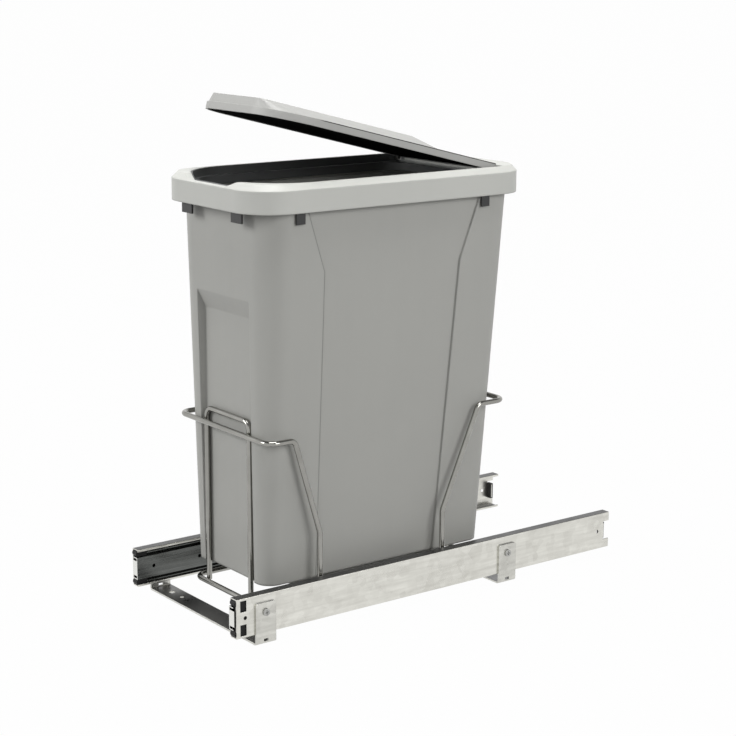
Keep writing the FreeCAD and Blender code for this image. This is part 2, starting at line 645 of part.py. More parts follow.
def middle_rail():
    half = MIDDLE_HALF
    across = "slide_depth - rail_steel - part_gap - " + f"({MIDDLE_WEB})"
    profile = [
        ("0", "0"), (across, "0"), (across, "rail_steel"), ("rail_steel", "rail_steel"),
        ("rail_steel", f"2 * ({half}) - rail_steel"), (across, f"2 * ({half}) - rail_steel"),
        (across, f"2 * ({half})"), ("0", f"2 * ({half})"),
    ]
    body = strip_body("left_middle_rail", profile, "slide_length - middle_start - middle_rear")
    return place(body, f"{WEB} + {MIDDLE_WEB}", f"{SLIDE_FRONT} + middle_start", f"{SLIDE_MID} - ({half})")


def middle_cap():
    """The plastic front end of the middle rail: two blocks joined by a plate."""
    inside = f"{INNER_HALF} + 2 * part_gap"
    outside = "slide_height / 2 - rail_steel - part_gap"
    start = f"{WEB} + rail_steel + part_gap"
    width = "slide_depth - 2 * rail_steel - 3 * part_gap"
    pieces = [block("cap_plate", (start, SLIDE_FRONT, f"{SLIDE_MID} - ({outside})"),
                    ("web_gap + rail_steel - part_gap", "middle_start", f"2 * ({outside})"))]
    thick = f"({outside}) - ({inside})"
    for name, low in (("cap_low", f"{SLIDE_MID} - ({outside})"), ("cap_high", f"{SLIDE_MID} + {inside}")):
        pieces.append(block(name, (start, SLIDE_FRONT, low), (width, "middle_start", thick)))
        nose = (start, f"{SLIDE_FRONT} + ({thick}) / 2 - cap_nose", f"{low} + ({thick}) / 2")
        pieces.append(rod(name + "_nose", nose, f"({thick}) / 2", width, "x"))
    return fuse("left_middle_cap", pieces)


def inner_rail():
    half = INNER_HALF
    across = f"slide_depth - 2 * ({MIDDLE_WEB})"
    profile = [
        ("0", "0"), (across, "0"), (across, f"2 * ({half})"), ("0", f"2 * ({half})"),
        ("0", f"2 * ({half}) - rail_steel"), (f"{across} - rail_steel", f"2 * ({half}) - rail_steel"),
        (f"{across} - rail_steel", "rail_steel"), ("0", "rail_steel"),
    ]
    front = f"{SLIDE_FRONT} - rail_steel - part_gap"
    body = strip_body("inner_rail_strip", profile, "slide_length + rail_steel + part_gap - inner_rear")
    web = "-slide_span / 2 + slide_depth"
    place(body, f"{WEB} + 2 * ({MIDDLE_WEB})", front, f"{SLIDE_MID} - ({half})")
    tab = block("inner_tab", (f"{web} - tab_width", front, f"{SLIDE_MID} - tab_height / 2"),
                ("tab_width", "rail_steel", "tab_height"))
    holes = []
    places = [
        ("first", f"{SLIDE_FRONT} + inner_hole_first", "web_hole / 2"),
        ("second", f"{SLIDE_FRONT} + inner_hole_second", "web_hole / 2"),
    ]
    for name, leg in (("front", "front_hoop_leg"), ("rear", "rear_hoop_leg")):
        for sign in ("-", "+"):
            places.append((f"{name}{len(places)}", f"{leg} {sign} mount_screw_offset",
                           "slide_screw / 2 + screw_clearance"))
    for name, along, radius in places:
        holes.append(rod("inner_hole_" + name, (f"{web} - rail_steel - overshoot", along, SLIDE_MID),
                         radius, "rail_steel + 2 * overshoot", "x"))
    rail = fuse("inner_rail_with_tab", [body, tab])
    return cut("left_inner_rail", rail, fuse("inner_rail_holes", holes))


pair("outer_rail", outer_rail())
pair("rear_bumper", bumper())
pair("outer_cage", cage("left_outer_cage", f"rail_steel + {CAGE_SHIFT}", OUTER_BALL))
pair("outer_balls", balls("left_outer_balls", OUTER_BALL))
pair("middle_rail", middle_rail())
pair("middle_cap", middle_cap())
pair("inner_cage", cage("left_inner_cage", f"2 * rail_steel + web_gap + {CAGE_SHIFT}", INNER_BALL))
pair("inner_balls", balls("left_inner_balls", INNER_BALL))
pair("inner_rail", inner_rail())


# brackets and screws ------------------------------------------------------------------------

def bracket(name, middle):
    """A strip under both slides with its ends bent up outside them."""
    across, tall, sheet_size = "slide_span + 2 * bracket_sheet", "bracket_height", "bracket_sheet"
    profile = [
        ("0", "0"), (across, "0"), (across, tall), (f"{across} - {sheet_size}", tall),
        (f"{across} - {sheet_size}", sheet_size), (sheet_size, sheet_size), (sheet_size, tall), ("0", tall),
    ]
    body = strip_body(name + "_strip", profile, "bracket_width")
    wide = size("slide_span") + 2 * size("bracket_sheet")
    steel = size("bracket_sheet")

    def bend(inset):
        def wanted(middle_point, direction):
            low = abs(middle_point.z - inset) < NEAR
            side = min(abs(middle_point.x - inset), abs(wide - inset - middle_point.x)) < NEAR
            return runs_along(direction, "y") and low and side
        return wanted

    def tab_corner(middle_point, direction):
        return runs_along(direction, "x") and middle_point.z > size("bracket_height") - NEAR

    round_edges(body, "bracket_bend", bend(steel))
    round_edges(body, "bracket_bend + bracket_sheet", bend(0))
    round_edges(body, "tab_round", tab_corner)
    place(body, f"{WEB} - bracket_sheet", f"{middle} - bracket_width / 2", "0")
    cuts = []
    for side in ("-", "+"):
        end = f"{side}slide_span / 2 - bracket_sheet - overshoot"
        cuts.append(block(f"{name}_relief{side}", (end, f"{middle} - relief_width / 2",
                                                   "bracket_sheet + bracket_bend"),
                          ("2 * (bracket_sheet + overshoot)", "relief_width", "relief_height")))
        cuts.append(rod(f"{name}_tab_hole{side}", (end, middle, f"{SLIDE_MID} + slide_screw_raise"),
                        "slide_screw / 2 + screw_clearance", "2 * (bracket_sheet + overshoot)", "x"))
        for hole in ("floor_hole", "access_hole"):
            cuts.append(rod(f"{name}_{hole}{side}", (f"{side}{hole}_offset", middle, "-overshoot"),
                            f"{hole} / 2", "bracket_sheet + 2 * overshoot"))
    return cut(name, body, fuse(name + "_cuts", cuts))


def screw_at(name, x, y, z, length, turned):
    blank = screw(name, "slide_screw_head", "slide_screw", "slide_screw_dome", length)
    if turned:
        blank.Placement.Rotation = FreeCAD.Rotation(Vector(0, 0, 1), 180)
    return place(blank, x, y, z)


def four_screws(name, x, places, length, outward):
    """Screws at two places along each side, their heads away from or towards the middle."""
    screws = []
    for index, (along, up) in enumerate(places):
        for side in ("-", "+"):
            where = f"{side}({x})"
            turned = (side == "+") == outward
            screws.append(screw_at(f"{name}_{index}{side}", where, along, up, length, turned))
    group = doc.addObject("Part::Compound", name)
    group.Links = screws
    return group


screw_height = f"{SLIDE_MID} + slide_screw_raise"
node("front_bracket", bracket("front_bracket", FRONT_STRIP))
node("rear_bracket", bracket("rear_bracket", REAR_STRIP))
node("bracket_screws", four_screws(
    "bracket_screws", "slide_span / 2 + bracket_sheet",
    [(FRONT_STRIP, screw_height), (REAR_STRIP, screw_height)], "bracket_sheet + rail_steel", True))


# wire cradle --------------------------------------------------------------------------------

base_z = size("base_height")
cross_z = base_z + size("wire") + size("weld_gap")
hoop_x = size("hoop_half")


def base_loop():
    half, front, rear = size("base_half"), size("cradle_front"), size("base_rear")
    points = [Vector(-half, front, base_z), Vector(half, front, base_z),
              Vector(half, rear, base_z), Vector(-half, rear, base_z)]
    return wire_piece("base_loop", points, [size("base_bend")] * 4, True)


def front_guard():
    half, top = size("guard_half"), size("guard_top")
    along = size("cradle_front") + size("wire") + size("weld_gap")
    points = [Vector(-half, along, base_z), Vector(-half, along, top),
              Vector(half, along, top), Vector(half, along, base_z)]
    bend = size("guard_bend")
    return wire_piece("front_guard", points, [bend] * 4, False)


def hoop(name, leg, ankle, knee, top, end):
    """A closed hoop: a cross run under the bin, two legs that lean outwards, a run round the bin."""
    left = [Vector(-hoop_x, leg, cross_z), Vector(-hoop_x, leg, ankle),
            Vector(-hoop_x, knee, top), Vector(-hoop_x, end, top)]
    right = [Vector(-point.x, point.y, point.z) for point in reversed(left)]
    bends = [size("hoop_bend"), size("hoop_ankle"), size("hoop_knee"), size("hoop_bend")]
    return wire_piece(name, left + right, bends + bends[::-1], True)


def mount_plate(name, leg):
    inner = "-slide_span / 2 + slide_depth"
    plate = block(name + "_blank", (inner, f"{leg} - mount_length / 2", f"{SLIDE_MID} - mount_drop"),
                  ("mount_sheet", "mount_length", "mount_height"))
    holes = []
    for sign in ("-", "+"):
        start = (f"{inner} - overshoot", f"{leg} {sign} mount_screw_offset", SLIDE_MID)
        holes.append(rod(f"{name}_hole{sign}", start, "slide_screw / 2 + screw_clearance",
                         "mount_sheet + 2 * overshoot", "x"))
    return cut(name, plate, fuse(name + "_holes", holes))


node("base_loop", base_loop())
node("front_guard", front_guard())
node("front_hoop", hoop("front_hoop", size("front_hoop_leg"), size("front_hoop_ankle"),
                        size("front_hoop_knee"), size("front_hoop_top"),
                        size("cradle_front")))
node("rear_hoop", hoop("rear_hoop", size("rear_hoop_leg"), size("rear_hoop_ankle"),
                       size("rear_hoop_knee"), size("rear_hoop_top"), size("rear_hoop_back")))
pair("front_mount", mount_plate("left_front_mount", "front_hoop_leg"))
pair("rear_mount", mount_plate("left_rear_mount", "rear_hoop_leg"))
node("carriage_screws", four_screws(
    "carriage_screws", "slide_span / 2 - slide_depth - mount_sheet",
    [(f"{leg} {sign} mount_screw_offset", SLIDE_MID)
     for leg in ("front_hoop_leg", "rear_hoop_leg") for sign in ("-", "+")],
    "mount_sheet + rail_steel", False))


# bin ----------------------------------------------------------------------------------------

RECESS_HALF = "guard_half + wire / 2 + recess_clearance"


def bin_form(name, inset, side_inset, low):
    """The tapered form, drawn in by the wall and at its sides by the depth of the panels."""
    sections = []
    for part_name, level, half, front, rear, radius in (
        ("low", low, "bin_low_half", "bin_low_front", "bin_low_rear", "bin_low_round"),
        ("top", "bin_top", "bin_top_half", "bin_top_front", "bin_top_rear", "bin_top_round"),
    ):
        sections.append(rounded_sketch(
            f"{name}_{part_name}", f"{half} - ({inset}) - ({side_inset})", f"{front} + {inset}",
            f"{rear} - ({inset})", f"{radius} - ({inset})", level))
    return loft(name, sections)


def recess_form(name, wall):
    """The space of the front recess, or the same space with the wall around it."""
    start = "bin_top_front - overshoot"
    deep = f"recess_floor + {wall} - ({start})"
    slope = "recess_ramp / (recess_floor - bin_top_front)"
    tall = f"recess_top + {wall} + overshoot - bin_floor"
    highest = f"{tall} + ({deep}) * {slope}"
    floor_half = f"({RECESS_HALF} + {wall})"
    mouth_half = f"({RECESS_HALF} + {wall} + recess_flare)"
    bottom = "bin_floor - overshoot"
    side_view = [("0", "0"), (deep, "0"), (deep, tall), ("0", highest)]
    depth = strip_body(name + "_depth", side_view, f"2 * {mouth_half}", "YZ_Plane")
    place(depth, f"-{mouth_half}", start, bottom)
    top_view = [("0", "0"), (f"2 * {mouth_half}", "0"), (f"{mouth_half} + {floor_half}", deep),
                ("recess_flare", deep)]
    width = strip_body(name + "_width", top_view, highest, "XY_Plane")
    place(width, f"-{mouth_half}", start, bottom)
    return common(name, depth, width)


def panel_form(name, wall):
    """A bar across the whole bin with the outline of the side panels."""
    start = f"panel_front_top - ({wall})"
    bottom = "bin_floor - overshoot"
    profile = [
        ("panel_front - panel_front_top", "0"),
        (f"panel_rear_low - panel_front_top + 2 * ({wall})", "0"),
        (f"panel_rear - panel_front_top + 2 * ({wall})", f"panel_rear_knee - ({bottom})"),
        (f"panel_rear_top - panel_front_top + 2 * ({wall})", f"panel_top - ({bottom})"),
        ("0", f"panel_top - ({bottom})"),
        ("panel_front - panel_front_top", f"panel_front_knee - ({bottom})"),
    ]
    body = strip_body(name, profile, "2 * (bin_top_half + overshoot)", "YZ_Plane")
    return place(body, "-bin_top_half - overshoot", start, bottom)


def bin_body():
    outer = bin_form("bin_outer", "0", "0", "bin_floor")
    inner = bin_form("bin_inner", "bin_wall", "0", "bin_floor + bin_wall")
    outer_slim = bin_form("bin_outer_slim", "0", "panel_depth", "bin_floor")
    inner_slim = bin_form("bin_inner_slim", "bin_wall", "panel_depth", "bin_floor + bin_wall")
    outer_panels = cut("bin_outer_panels", panel_form("panel_outer", "0"), outer_slim)
    inner_panels = cut("bin_inner_panels", panel_form("panel_inner", "bin_wall"), inner_slim)
    outside = cut("bin_outside", outer,
                  fuse("bin_outside_cuts", [outer_panels, recess_form("recess_outer", "0")]))
    inside = cut("bin_inside", inner,
                 fuse("bin_inside_cuts", [inner_panels, recess_form("recess_inner", "bin_wall")]))
    foot = rounded_prism("bin_foot", "foot_half", "foot_front", "foot_rear", "foot_round", "foot_low",
                         "foot_height + bin_wall / 2")
    return fuse("bin_body", [cut("bin_shell", outside, inside), foot])


node("bin_body", bin_body())


# collar and inner frame ---------------------------------------------------------------------

def collar_ring(name, inset, low, height, front_round=None):
    """A prism with the collar's outline, drawn in."""
    corner = f"collar_round - {inset}"
    return rounded_prism(name, f"collar_half - {inset}", f"collar_front + {inset}",
                         f"collar_rear - {inset}", front_round or corner, low, height, corner)


def dip(name):
    """The space of the dip in the front edge: a trapezium along Y."""
    wide = "2 * (dip_half + dip_slope)"
    tall = "crest - dip_floor"
    profile = [("dip_slope", "0"), (f"{wide} - dip_slope", "0"), (wide, tall),
               (wide, f"{tall} + overshoot"), ("0", f"{tall} + overshoot"), ("0", tall)]
    body = strip_body(name, profile, "crest_in + frame_wall + crest_round")
    return place(body, "-dip_half - dip_slope", "collar_front - overshoot", "dip_floor")


def pin_sockets(name):
    return rod(name, ("-pin_reach - part_gap", "hinge_back", "hinge_height"), "pin / 2 + pin_clearance",
               "2 * (pin_reach + part_gap)", "x")


def lid_collar():
    """The outer collar, with a fixed deck behind the lid."""
    side = collar_ring("collar_side_face", "0", "collar_low", "collar_side")
    sections = []
    for name, inset, level in (("low", "0", "collar_edge"), ("high", "collar_shoulder_in", "crest")):
        sections.append(rounded_sketch(
            f"collar_shoulder_{name}", f"collar_half - {inset}", f"collar_front + {inset}",
            f"collar_rear - {inset}", f"collar_round - {inset}", level))
    outside = fuse("collar_outside", [side, loft("collar_shoulder_loft", sections)])
    hollow = collar_ring("collar_hollow", "collar_wall", "collar_low - overshoot",
                         "ledge_top + overshoot - collar_low")
    middle = collar_ring("collar_middle", "crest_in", "collar_low - overshoot",
                         "crest + 2 * overshoot - collar_low", "crest_round")
    voids = fuse("collar_voids", [hollow, middle, dip("collar_dip"), pin_sockets("collar_sockets")])
    deck = fuse("deck_blocks", [
        block("deck_top", ("-collar_half", "deck_front", "crest - deck_sheet"),
              ("2 * collar_half", "collar_rear - crest_in + collar_wall / 2 - deck_front",
               "deck_sheet")),
        block("deck_skirt", ("-collar_half", "deck_front", "ledge_top"),
              ("2 * collar_half", "deck_sheet", "crest - ledge_top")),
    ])
    edge = "(crest_in - collar_wall / 2)"
    deck = common("rear_deck", deck, collar_ring("deck_outline", edge, "ledge_top", "crest - ledge_top"))
    return fuse("lid_collar", [cut("collar_shell", outside, voids), deck])


def lugs(flange_half, flange_front, flange_rear):
    """Clip lugs that hang from the frame's ledge around the bin's rim."""
    low = "collar_low - lug_drop"
    tall = f"ledge_top - ({low})"
    found = []
    for side in ("-", "+"):
        start = f"{side}lug_front_offset - lug_front_width / 2"
        for name, along in (("front", flange_front), ("rear", f"{flange_rear} - collar_wall")):
            found.append(block(f"lug_{name}{side}", (start, along, low),
                               ("lug_front_width", "collar_wall", tall)))
        left = f"-({flange_half})" if side == "-" else f"{flange_half} - collar_wall"
        for name, along in (("side_front", "lug_side_front"), ("side_rear", "lug_side_rear")):
            found.append(block(f"lug_{name}{side}", (left, f"{along} - lug_side_width / 2", low),
                               ("collar_wall", "lug_side_width", tall)))
    return found


def collar_frame():
    """The dark frame inside the collar: a ledge on the bin's rim, a wall, a lip and clip lugs."""
    front = "collar_front + crest_in - collar_wall"
    rear = "collar_rear - crest_in + collar_wall"
    ledge = rounded_prism("frame_ledge", "ledge_half", front, rear,
                          "collar_round - crest_in + collar_wall", "ledge_top - ledge_sheet", "ledge_sheet")
    wall_tall = "crest - part_gap - ledge_top"
    wall = cut("frame_wall", collar_ring("frame_wall_outer", "crest_in", "ledge_top", wall_tall,
                                         "crest_round"),
               collar_ring("frame_wall_inner", "(crest_in + frame_wall)", "ledge_top - overshoot",
                           f"{wall_tall} + 2 * overshoot", "crest_round - frame_wall"))
    lip_low = "ledge_top - frame_lip"
    lip = rounded_prism("frame_lip", "aperture_half", "aperture_front", "aperture_rear",
                        "bin_top_round - bin_wall", lip_low, "frame_lip")
    aperture = rounded_prism("frame_aperture", "aperture_half - frame_wall", "aperture_front + frame_wall",
                             "aperture_rear - frame_wall", "bin_top_round - bin_wall - frame_wall",
                             f"{lip_low} - overshoot", "frame_lip + 2 * overshoot")
    whole = fuse("frame_whole", [ledge, wall, lip] + lugs("ledge_half", front, rear))
    under_deck = block("frame_under_deck", ("-collar_half", "deck_front - part_gap", "ledge_top"),
                       ("2 * collar_half", "collar_rear - deck_front", "crest - ledge_top + overshoot"))
    voids = fuse("frame_voids", [aperture, dip("frame_dip"), pin_sockets("frame_sockets"), under_deck])
    return cut("collar_frame", whole, voids)


node("lid_collar", lid_collar())
node("collar_frame", collar_frame())


# lid, drawn closed about its hinge axis and then turned open ----------------------------------

def lid_prism(name, inset, low, height):
    return rounded_prism(name, f"lid_half - {inset}", f"-lid_reach + {inset}", f"lid_behind - {inset}",
                         f"lid_round - {inset}", low, height, f"lid_rear_round - {inset}")


def crown(name, wall, foot):
    """The raised middle, or the hollow under it. It is level with the lid's front edge."""
    edge = f"(groove_in + groove_width + {wall})"
    front = f"-lid_reach + crown_front + {wall}"
    rear = f"-crown_rear - {wall}"
    low = rounded_sketch(f"{name}_low", f"lid_half - {edge}", front, rear, f"lid_round - {edge}", foot,
                         "crown_round + groove_width")
    high = rounded_sketch(f"{name}_high", f"lid_half - {edge} - crown_slope",
                          f"{front} + crown_front_slope", f"{rear} - crown_rear_slope",
                          "crown_round", f"lid_high + crown_height - {wall}", "crown_round - groove_width")
    return loft(name, [low, high])


def hang(obj):
    """Put a piece of the lid on its hinge, open by the rest angle."""
    obj.Placement.Rotation = FreeCAD.Rotation(Vector(-1, 0, 0), size("lid_rest_angle"))
    bind(obj, Placement__Rotation__Angle="lid_rest_angle")
    return place(obj, "0", "hinge_back", "hinge_height")


def lid_shell():
    band = lid_prism("lid_band", "0", "lid_low", "lid_high - lid_low")
    hollow = lid_prism("lid_hollow", "lid_wall", "lid_low - overshoot",
                       "lid_high - lid_low + overshoot - lid_wall")
    groove = cut("lid_groove", lid_prism("groove_outer", "groove_in", "lid_high - groove_depth",
                                         "groove_depth + overshoot"),
                 lid_prism("groove_inner", "(groove_in + groove_width)",
                           "lid_high - groove_depth - overshoot", "groove_depth + 3 * overshoot"))
    ears = []
    for name, start in (("left", "-lid_half"), ("right", "lid_half - lid_wall")):
        ears.append(rod(f"{name}_ear", (start, "0", "0"), "ear / 2", "lid_wall", "x"))
    pins = rod("lid_pin_holes", ("-lid_half - overshoot", "0", "0"), "pin / 2 + pin_clearance",
               "2 * (lid_half + overshoot)", "x")
    skin = cut("lid_skin", fuse("lid_solid", [cut("lid_grooved", band, groove),
                                              crown("lid_crown", "0", "lid_high - groove_depth")]),
               fuse("lid_voids", [hollow, crown("lid_crown_hollow", "lid_wall", "lid_high - lid_wall")]))
    return hang(cut("lid_shell", fuse("lid_eared", [skin] + ears), pins))


def lid_panel():
    return hang(lid_prism("lid_panel", "lid_wall", "lid_low + panel_inner_rise", "panel_inner_sheet"))


def hinge_pins():
    pins = []
    inner_end = "lid_half - lid_wall + part_gap"
    reach = f"pin_reach - ({inner_end})"
    for name, start in (("left", "-pin_reach"), ("right", inner_end)):
        pins.append(rod(f"{name}_pin", (start, "0", "0"), "pin / 2", reach, "x"))
    group = doc.addObject("Part::Compound", "hinge_pins")
    group.Links = pins
    return hang(group)


node("lid_shell", lid_shell())
node("lid_panel", lid_panel())
node("hinge_pins", hinge_pins())


# check and write ----------------------------------------------------------------------------

doc.recompute()
broken = [obj.Name for obj in doc.Objects if "Invalid" in obj.State or "Error" in obj.State]
for label, obj in nodes.items():
    if obj.Shape.isNull() or not obj.Shape.isValid():
        broken.append(label)
if broken:
    raise RuntimeError("not built: " + ", ".join(broken))
os.makedirs("parts", exist_ok=True)
for label, obj in nodes.items():
    obj.Shape.exportStep(f"parts/{label}.step")
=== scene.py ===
import json
import math

import bpy
from mathutils import Matrix, Vector


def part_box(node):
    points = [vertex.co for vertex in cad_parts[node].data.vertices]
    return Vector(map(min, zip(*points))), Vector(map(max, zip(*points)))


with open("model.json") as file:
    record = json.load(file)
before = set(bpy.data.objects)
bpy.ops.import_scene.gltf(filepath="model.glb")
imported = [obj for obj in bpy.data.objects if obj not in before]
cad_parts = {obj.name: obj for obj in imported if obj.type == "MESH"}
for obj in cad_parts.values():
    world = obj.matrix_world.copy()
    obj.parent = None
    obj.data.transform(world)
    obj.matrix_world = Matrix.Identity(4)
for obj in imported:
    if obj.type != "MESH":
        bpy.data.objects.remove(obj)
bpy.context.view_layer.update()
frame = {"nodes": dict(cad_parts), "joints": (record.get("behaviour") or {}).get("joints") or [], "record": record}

MM = 0.001
SIDEWAYS = Vector((1.0, 0.0, 0.0))
FORWARD = Vector((0.0, -1.0, 0.0))
UP = Vector((0.0, 0.0, 1.0))

# the lid at rest: its hinge, its angle above level, and its own upward and forward directions
HINGE = Vector(next(joint for joint in frame["joints"] if joint["name"] == "lid_hinge")["pos_m"])
LID_OPEN = math.radians(14.2)
LID_UP = Vector((0.0, math.sin(LID_OPEN), math.cos(LID_OPEN)))
LID_AHEAD = Vector((0.0, -math.cos(LID_OPEN), math.sin(LID_OPEN)))

# the painted shadow line between the lid's side band and its raised middle
LID_LINE_LOW = 7.8 * MM
LID_LINE_HIGH = 10.6 * MM
LID_LINE_FADE = 0.4 * MM
LID_LINE_ASIDE = 83.0 * MM
LID_LINE_ASIDE_FADE = 1.0 * MM
LID_LINE_END = 250.0 * MM
LID_LINE_END_FADE = 12.0 * MM

# the painted shadow: a soft dark line down the front edge of each side panel of the bin
PANEL_FRONT = 79.9 * MM
PANEL_KNEE = 404.0 * MM
PANEL_SLANT = 0.347
PANEL_LINE_HALF = 0.3 * MM
PANEL_LINE_FADE = 1.3 * MM
PANEL_LINE_ASIDE = 58.0 * MM
PANEL_LINE_ASIDE_FADE = 4.0 * MM
PANEL_LINE_SHARE = 0.34

# painted shade on the clip lugs under the collar
LUG_TOP = 480.0 * MM
LUG_FADE = 4.0 * MM

# stretches of a noise: short along an axis with a large number, long along one with a small number
DOWN_THE_WALL = (9.0, 9.0, 0.8)
ROLLED_STRIP = (6.0, 0.5, 6.0)
BRUSHED_RAIL = (3.0, 0.05, 3.0)

BEVEL_SAMPLES = 6
# the colour of the painted shade: shadow lines on the bin and the lid, and shade on the collar's lugs
PAINTED_SHADE_COLOUR = (0.02, 0.02, 0.02)
# the painted highlight on the front end faces of the inner rails
RAIL_END_HIGHLIGHT = (0.75, 0.75, 0.72)


# materials ------------------------------------------------------------------------------------

def math_node(tree, operation, first, second):
    """A Math node on two values, each a socket or a number."""
    node = tree.nodes.new("ShaderNodeMath")
    node.operation = operation
    for socket, value in zip(node.inputs, (first, second)):
        if isinstance(value, bpy.types.NodeSocket):
            tree.links.new(value, socket)
        else:
            socket.default_value = value
    return node.outputs[0]


class Shader:
    """A material with one Principled shader and short ways to add nodes in object coordinates."""

    def __init__(self, name):
        self.material = bpy.data.materials.new(name)
        self.material.use_nodes = True
        self.tree = self.material.node_tree
        self.surface = self.tree.nodes["Principled BSDF"]
        self.coordinates = self.tree.nodes.new("ShaderNodeTexCoord").outputs["Object"]

    def add(self, kind, **inputs):
        """A new node. An input's name is written with _ for a space."""
        node = self.tree.nodes.new(kind)
        for name, value in inputs.items():
            self.feed(node, name.replace("_", " "), value)
        return node

    def feed(self, node, name, value):
        """Link a socket to a node's input, or set the input to a plain value."""
        if isinstance(value, bpy.types.NodeSocket):
            self.tree.links.new(value, node.inputs[name])
        else:
            node.inputs[name].default_value = value

    def stretched(self, scale):
        """Object coordinates with a scale along each axis, for streaks and rolling marks."""
        mapping = self.add("ShaderNodeMapping", Vector=self.coordinates)
        mapping.inputs["Scale"].default_value = scale
        return mapping.outputs["Vector"]

    def noise(self, scale, detail=4.0, roughness=0.55, vector=None):
        """Noise from nothing to one. The scale is in cells per metre."""
        node = self.add("ShaderNodeTexNoise", Vector=vector or self.coordinates, Scale=scale,
                        Detail=detail, Roughness=roughness)
        return node.outputs["Fac"]

    def cells(self, scale):
        """One random value for each crystal of a zinc spangle."""
        node = self.add("ShaderNodeTexVoronoi", Vector=self.coordinates, Scale=scale)
        grey = self.add("ShaderNodeSeparateColor", Color=node.outputs["Color"])
        return grey.outputs["Red"]

    def ramp(self, value, stops):
        """Map a value to greys. stops are (place, grey) pairs."""
        node = self.add("ShaderNodeValToRGB", Fac=value)
        elements = node.color_ramp.elements
        for element, (place, grey) in zip(elements, stops):
            element.position = place
            element.color = (grey, grey, grey, 1.0)
        return node.outputs["Color"]

    def number(self, operation, first, second=0.0):
        """A Math node in this material."""
        return math_node(self.tree, operation, first, second)

    def dot(self, vector, axis):
        """The part of a vector that lies along an axis."""
        node = self.add("ShaderNodeVectorMath", Vector=vector)
        node.operation = "DOT_PRODUCT"
        node.inputs[1].default_value = axis
        return node.outputs["Value"]

    def along(self, axis):
        """Distance along an axis in object coordinates."""
        return self.dot(self.coordinates, axis)

    def facing(self, axis, low, high):
        """One where the surface faces along an axis of the object, and nothing where it does not."""
        normal = self.add("ShaderNodeNewGeometry").outputs["Normal"]
        turned = self.add("ShaderNodeVectorTransform", Vector=normal)
        turned.vector_type = "NORMAL"
        turned.convert_from = "WORLD"
        turned.convert_to = "OBJECT"
        return self.between(self.dot(turned.outputs[0], axis), low, high)

    def between(self, value, low, high):
        """A smooth step from nothing at low to one at high."""
        step = self.add("ShaderNodeMapRange", Value=value)
        step.interpolation_type = "SMOOTHSTEP"
        step.inputs["From Min"].default_value = low
        step.inputs["From Max"].default_value = high
        return step.outputs["Result"]

    def above(self, value, limit, fade):
        """Nothing up to a limit, and one from a fade beyond it."""
        return self.between(value, limit, limit + fade)

    def below(self, value, limit, fade):
        """One up to a limit, and nothing from a fade beyond it."""
        return self.number("SUBTRACT", 1.0, self.above(value, limit, fade))

    def both(self, first, second):
        """The product of two factors."""
        return self.number("MULTIPLY", first, second)

    def mix(self, factor, first, second):
        """Blend two colours. A colour is a socket or three numbers."""
        node = self.tree.nodes.new("ShaderNodeMix")
        node.data_type = "RGBA"
        for name, value in (("Factor", factor), ("A", first), ("B", second)):
            socket = next(one for one in node.inputs if one.name == name and one.enabled)
            if isinstance(value, bpy.types.NodeSocket):
                self.tree.links.new(value, socket)
            else:
                socket.default_value = (*value, 1.0)
        return next(one for one in node.outputs if one.enabled)

    def bump(self, height, strength, distance, edge=0.0):
        """Bump from a height, over edges that look rounded by the given radius."""
        node = self.add("ShaderNodeBump", Height=height, Strength=strength, Distance=distance)
        if edge:
            soft = self.add("ShaderNodeBevel", Radius=edge)
            soft.samples = BEVEL_SAMPLES
            self.feed(node, "Normal", soft.outputs["Normal"])
        self.feed(self.surface, "Normal", node.outputs["Normal"])

    def finish(self, **inputs):
        """Set the Principled shader's inputs and give the material."""
        for name, value in inputs.items():
            self.feed(self.surface, name.replace("_", " "), value)
        return self.material


def plastic(name, dark, light, roughness, edge, gloss=0.42, painted_shade=None):
    """Moulded plastic: fine spark-eroded grain, faint flow clouds, handling marks, and painted shade where a mask
    is given.
    """
    s = Shader(name)
    clouds = s.number("MULTIPLY", s.noise(scale=7.0, detail=3.0), 0.7)
    streaks = s.number("MULTIPLY", s.noise(scale=6.0, vector=s.stretched(DOWN_THE_WALL)), 0.3)
    tone = s.mix(s.number("ADD", clouds, streaks), dark, light)
    # painted shade: where a mask is given, the tone darkens towards the painted shade colour
    if painted_shade:
        tone = s.mix(painted_shade(s), tone, PAINTED_SHADE_COLOUR)
    grain = s.noise(scale=1500.0, detail=2.0)
    smudges = s.noise(scale=60.0, detail=5.0)
    rough = s.ramp(smudges, [(0.3, roughness - 0.05), (0.7, roughness + 0.06)])
    s.bump(grain, strength=0.22, distance=0.12 * MM, edge=edge)
    return s.finish(Base_Color=tone, Roughness=rough, Specular_IOR_Level=gloss)


def zinc(name, dark, light, roughness, spangle=110.0, edge=0.5 * MM, painted_top_reflection=0.10):
    """Galvanised sheet: spangle, clouds, marks of rolling along the strip, and a painted dark reflection on faces
    that look up.
    """
    s = Shader(name)
    flakes = s.cells(spangle)
    patches = s.noise(scale=24.0, detail=6.0, roughness=0.7)
    rolled = s.noise(scale=40.0, detail=3.0, vector=s.stretched(ROLLED_STRIP))
    base = s.mix(patches, dark, light)
    flaked = s.mix(s.ramp(flakes, [(0.0, 0.0), (1.0, 0.45)]), base, light)
    toned = s.mix(s.ramp(rolled, [(0.35, 0.0), (0.75, 0.5)]), flaked, dark)
    # painted dark reflection: faces that look up are toned towards a dark grey
    toned = s.mix(s.facing(UP, low=0.75, high=0.95), toned, (painted_top_reflection, painted_top_reflection, painted_top_reflection))
    rough = s.ramp(patches, [(0.3, roughness - 0.08), (0.7, roughness + 0.12)])
    s.bump(s.noise(scale=420.0, detail=5.0), strength=0.12, distance=0.15 * MM, edge=edge)
    return s.finish(Base_Color=toned, Roughness=rough, Metallic=1.0)


